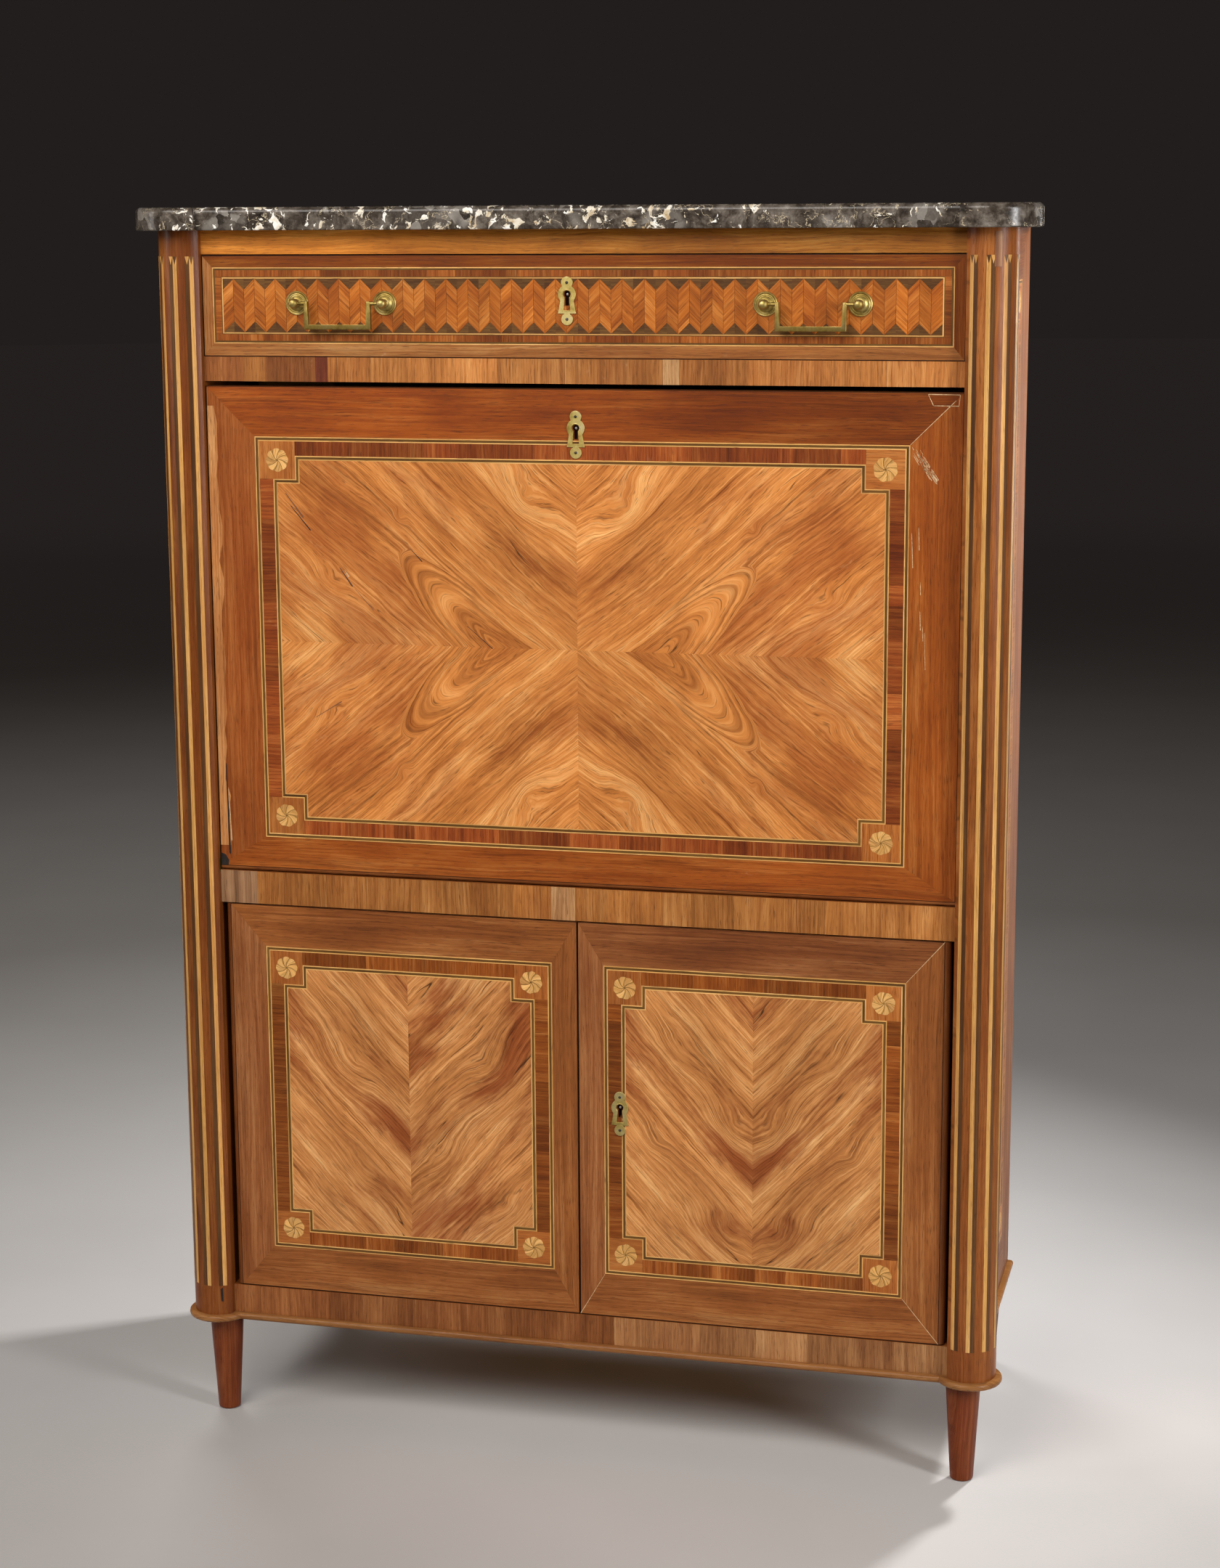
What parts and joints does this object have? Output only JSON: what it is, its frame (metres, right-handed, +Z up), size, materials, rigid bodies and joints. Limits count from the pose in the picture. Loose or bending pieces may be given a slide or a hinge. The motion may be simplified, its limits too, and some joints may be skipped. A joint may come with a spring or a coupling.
{
  "type": "drop front secretary",
  "caption": "Marble-topped writing cabinet with a frieze drawer, a veneered fall front on pivots and stays, a fitted inside, a cupboard below and turned feet.",
  "frame": {"origin": "on the floor under the middle of the object's box", "axes": "+X to the viewer's right, +Y to the rear, +Z up; the front faces -Y"},
  "size_m": [1.003, 0.4218, 1.416],
  "materials": {
    "marble": "polished veined grey",
    "leather": "worn dark brown",
    "veneer": "french polished",
    "column": "french polished",
    "side_veneer": "french polished",
    "oak": "plain, dry",
    "fitting": "satin",
    "moulding": "worn polish",
    "foot": "polished",
    "brass": "aged, rubbed",
    "iron": "dark, filed"
  },
  "bodies": {
    "case": {"marble_top": "marble", "left_corner_post": "column", "right_corner_post": "column", "rear_posts": "oak", "left_side_panel": "side_veneer", "right_side_panel": "side_veneer", "back_planks": "oak", "top_board": "oak", "frieze_rail": "veneer", "drawer_rail": "veneer", "dust_board": "oak", "drawer_guides": "oak", "middle_rail": "veneer", "writing_floor": "fitting", "bottom_rail": "veneer", "bottom_board": "oak", "base_moulding": "moulding", "front_feet": "foot", "rear_feet": "foot", "cupboard_shelf": "oak", "shelf_cleats": "oak", "door_stops": "oak", "nest_sides": "fitting", "nest_shelves": "fitting", "nest_dividers": "fitting", "flap_pivot_plates": "brass", "door_hinge_plates": "brass"},
    "frieze_drawer": {"drawer_front": "veneer", "drawer_sides": "oak", "drawer_back": "oak", "drawer_bottom": "oak", "handle_rosettes": "brass", "handle_posts": "brass", "handle_nuts": "brass", "drawer_escutcheon": "brass", "drawer_lock": "iron"},
    "drawer_bolt": {"drawer_lock_bolt": "iron"},
    "left_handle": {"left_bail": "brass"},
    "right_handle": {"right_bail": "brass"},
    "flap": {"flap_panel": "veneer", "flap_leather": "leather", "flap_pivots": "brass", "flap_stays": "brass", "flap_escutcheon": "brass", "flap_lock": "iron"},
    "flap_bolt": {"flap_lock_bolt": "iron"},
    "left_door": {"left_door_panel": "veneer", "left_door_hinges": "brass", "left_door_bolt_plates": "brass"},
    "left_top_bolt": {"left_door_top_bolt": "brass"},
    "left_bottom_bolt": {"left_door_bottom_bolt": "brass"},
    "right_door": {"right_door_panel": "veneer", "right_door_hinges": "brass", "door_escutcheon": "brass", "door_lock": "iron"},
    "door_bolt": {"door_lock_bolt": "iron"},
    "lower_left_drawer": {"lower_left_small_drawer": "fitting"},
    "lower_right_drawer": {"lower_right_small_drawer": "fitting"},
    "upper_left_drawer": {"upper_left_small_drawer": "fitting"},
    "upper_right_drawer": {"upper_right_small_drawer": "fitting"}
  },
  "joints": [
    {"name": "frieze_drawer_slide", "type": "slide", "parent": "case", "child": "frieze_drawer", "axis": [0, -1, 0], "range_m": [0, 0.28]},
    {"name": "left_bail_swing", "type": "hinge", "parent": "frieze_drawer", "child": "left_handle", "pos_m": [-0.2625, -0.1821, 1.312], "axis": [-1, 0, 0], "range_deg": [-15, 110]},
    {"name": "right_bail_swing", "type": "hinge", "parent": "frieze_drawer", "child": "right_handle", "pos_m": [0.2625, -0.1821, 1.312], "axis": [-1, 0, 0], "range_deg": [-15, 110]},
    {"name": "drawer_bolt_slide", "type": "slide", "parent": "frieze_drawer", "child": "drawer_bolt", "axis": [0, 0, 1], "range_m": [0, 0.008]},
    {"name": "flap_drop", "type": "hinge", "parent": "case", "child": "flap", "pos_m": [0, -0.1641, 0.6716], "axis": [1, 0, 0], "range_deg": [0, 90]},
    {"name": "flap_bolt_slide", "type": "slide", "parent": "flap", "child": "flap_bolt", "axis": [0, 0, 1], "range_m": [0, 0.012]},
    {"name": "left_door_swing", "type": "hinge", "parent": "case", "child": "left_door", "pos_m": [-0.414, -0.1631, 0.3945], "axis": [0, 0, -1], "range_deg": [0, 100]},
    {"name": "left_top_bolt_slide", "type": "slide", "parent": "left_door", "child": "left_top_bolt", "axis": [0, 0, 1], "range_m": [0, 0.014]},
    {"name": "left_bottom_bolt_slide", "type": "slide", "parent": "left_door", "child": "left_bottom_bolt", "axis": [0, 0, -1], "range_m": [0, 0.014]},
    {"name": "right_door_swing", "type": "hinge", "parent": "case", "child": "right_door", "pos_m": [0.414, -0.1631, 0.3945], "axis": [0, 0, 1], "range_deg": [0, 100]},
    {"name": "door_bolt_slide", "type": "slide", "parent": "right_door", "child": "door_bolt", "axis": [-1, 0, 0], "range_m": [0, 0.009]},
    {"name": "lower_left_drawer_slide", "type": "slide", "parent": "case", "child": "lower_left_drawer", "axis": [0, -1, 0], "range_m": [0, 0.085]},
    {"name": "lower_right_drawer_slide", "type": "slide", "parent": "case", "child": "lower_right_drawer", "axis": [0, -1, 0], "range_m": [0, 0.085]},
    {"name": "upper_left_drawer_slide", "type": "slide", "parent": "case", "child": "upper_left_drawer", "axis": [0, -1, 0], "range_m": [0, 0.085]},
    {"name": "upper_right_drawer_slide", "type": "slide", "parent": "case", "child": "upper_right_drawer", "axis": [0, -1, 0], "range_m": [0, 0.085]}
  ]
}
